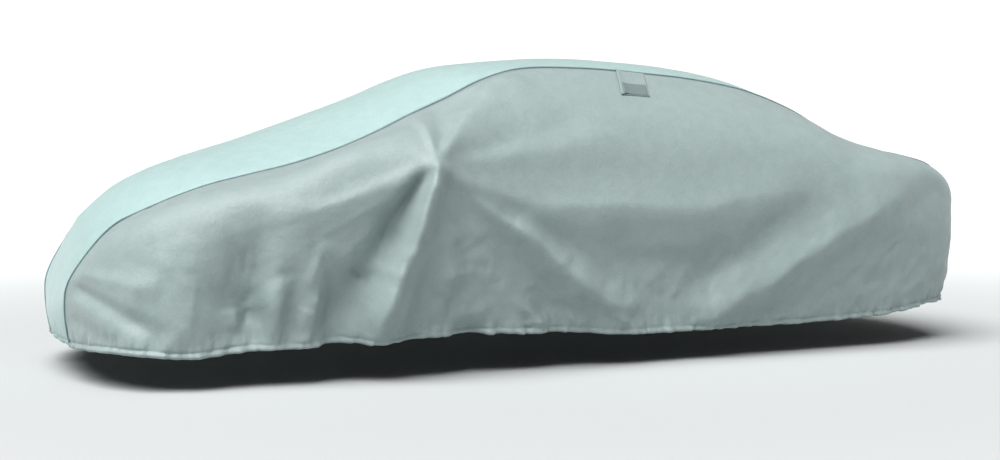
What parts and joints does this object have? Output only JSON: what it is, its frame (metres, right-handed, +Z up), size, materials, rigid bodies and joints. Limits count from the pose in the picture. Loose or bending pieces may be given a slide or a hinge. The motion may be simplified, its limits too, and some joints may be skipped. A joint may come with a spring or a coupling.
{
  "type": "fitted cloth car cover",
  "caption": "Fitted cloth cover as it hangs over a saloon body, with a pale top panel, grey side panels, dark seam piping and an elastic hem.",
  "frame": {"origin": "the top of the hollow, on the underside of the top panel at its highest point, on the centre plane", "axes": "+X from the nose to the tail, +Y towards the side that has no label, +Z up"},
  "size_m": [4.8018, 2.0958, 1.3514],
  "materials": {
    "mint_cloth": "pale mint coated nonwoven cloth, soft satin sheen",
    "grey_cloth": "mid grey coated nonwoven cloth with a cool green cast, soft satin sheen",
    "piping": "dark grey cloth-covered cord, matt",
    "label_cloth": "dark grey woven label, bare, matt"
  },
  "bodies": {
    "root": {"top_panel": "mint_cloth", "side_panel_left": "grey_cloth", "side_panel_right": "grey_cloth", "piping_left": "piping", "piping_right": "piping", "label_flap": "grey_cloth", "label": "label_cloth"}
  },
  "joints": []
}
